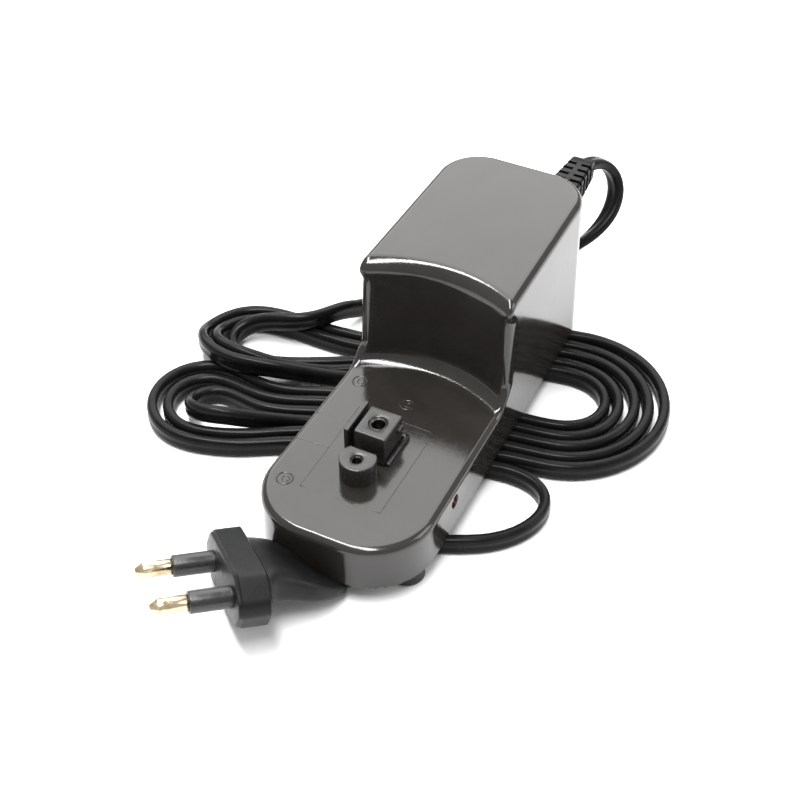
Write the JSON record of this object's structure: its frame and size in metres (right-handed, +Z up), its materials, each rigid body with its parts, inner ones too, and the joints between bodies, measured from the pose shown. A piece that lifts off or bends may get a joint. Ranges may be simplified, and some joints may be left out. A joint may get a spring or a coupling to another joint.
{
  "type": "sewing machine pedal",
  "caption": "Stepped dark grey sewing machine pedal: sprung drilled plunger block and stop post on a low deck, tall control block, flat twin mains cord with a two-pin plug",
  "frame": {"origin": "middle of the housing's underside footprint on the surface it stands on, cord and plug left out", "axes": "X across the housing to the right, Y along the housing from the low deck to the tall block, Z up"},
  "size_m": [0.1331, 0.1905, 0.05],
  "materials": {
    "housing_abs": "polished injection-moulded ABS, dark warm grey, faint hairlines",
    "base_black": "fine spark-eroded black plastic",
    "foot_rubber": "matt black rubber",
    "screw_steel": "zinc-plated steel screws",
    "block_black": "semi-gloss black nylon",
    "contact_metal": "nickel-plated turned sleeve",
    "spring_steel": "drawn spring wire",
    "lever_nylon": "natural nylon",
    "zinc_sheet": "zinc-plated folded sheet",
    "slider_white": "white acetal",
    "track_blue": "blue moulded control body",
    "board_green": "glass-epoxy board with solder mask",
    "chip_black": "moulded epoxy",
    "sink_aluminium": "extruded aluminium",
    "cap_yellow": "cast yellow box capacitor",
    "ferrite": "sintered ferrite ring",
    "copper_wire": "enamelled copper wire",
    "resistor_body": "lacquered resistor body",
    "fuse_glass": "clear glass tube",
    "clip_brass": "sprung brass clips",
    "terminal_green": "moulded terminal housing",
    "lamp_red": "red tinted lens",
    "holder_white": "white nylon holder",
    "live_brown": "brown PVC core",
    "neutral_blue": "blue PVC core",
    "cord_pvc": "satin black PVC",
    "plug_pvc": "fine-grained moulded black PVC",
    "sleeve_black": "smooth black insulating sleeve",
    "pin_brass": "polished brass"
  },
  "bodies": {
    "housing": {"upper_shell": "housing_abs", "base_plate": "base_black", "rubber_feet": "foot_rubber", "base_screws": "screw_steel", "guide_collar": "block_black", "stop_post": "block_black", "post_insert": "contact_metal", "return_spring": "spring_steel", "lever_pivot_pin": "screw_steel", "lever_bracket": "zinc_sheet", "bracket_screws": "screw_steel", "slider_track": "track_blue", "circuit_board": "board_green", "board_screws": "screw_steel", "triac": "chip_black", "heat_sink": "sink_aluminium", "film_capacitor": "cap_yellow", "choke_core": "ferrite", "choke_winding": "copper_wire", "resistors": "resistor_body", "fuse_tube": "fuse_glass", "fuse_clips": "clip_brass", "terminal_block": "terminal_green", "terminal_screws": "screw_steel", "pilot_lamp": "lamp_red", "lamp_holder": "holder_white", "cord_clamp": "base_black", "clamp_screws": "screw_steel", "live_wire": "live_brown", "neutral_wire": "neutral_blue", "strain_relief": "plug_pvc", "cord_tail": "cord_pvc", "cord_hank": "cord_pvc", "cord_lead": "cord_pvc", "plug_neck": "plug_pvc", "plug_body": "plug_pvc", "pin_sleeves": "sleeve_black", "plug_pins": "pin_brass"},
    "plunger": {"plunger": "block_black", "plunger_insert": "contact_metal"},
    "lever": {"rocker_lever": "lever_nylon"},
    "slider": {"speed_slider": "slider_white"}
  },
  "joints": [
    {"name": "plunger_press", "type": "slide", "parent": "housing", "child": "plunger", "axis": [0, 0, -1], "range_m": [0, 0.004], "stiffness_N_per_m": 400, "springref_m": -0.002, "deforming": ["return_spring"]},
    {"name": "lever_rock", "type": "hinge", "parent": "housing", "child": "lever", "pos_m": [0.0032, 0.016, 0.0134], "axis": [1, 0, 0], "range_deg": [0, 5.8]},
    {"name": "speed_slide", "type": "slide", "parent": "housing", "child": "slider", "axis": [0, -1, 0], "range_m": [0, 0.0029]}
  ],
  "couplings": [
    {"joint": "lever_rock", "follows": "plunger_press", "rad_per_m": 25},
    {"joint": "speed_slide", "follows": "plunger_press", "ratio": 0.7}
  ]
}
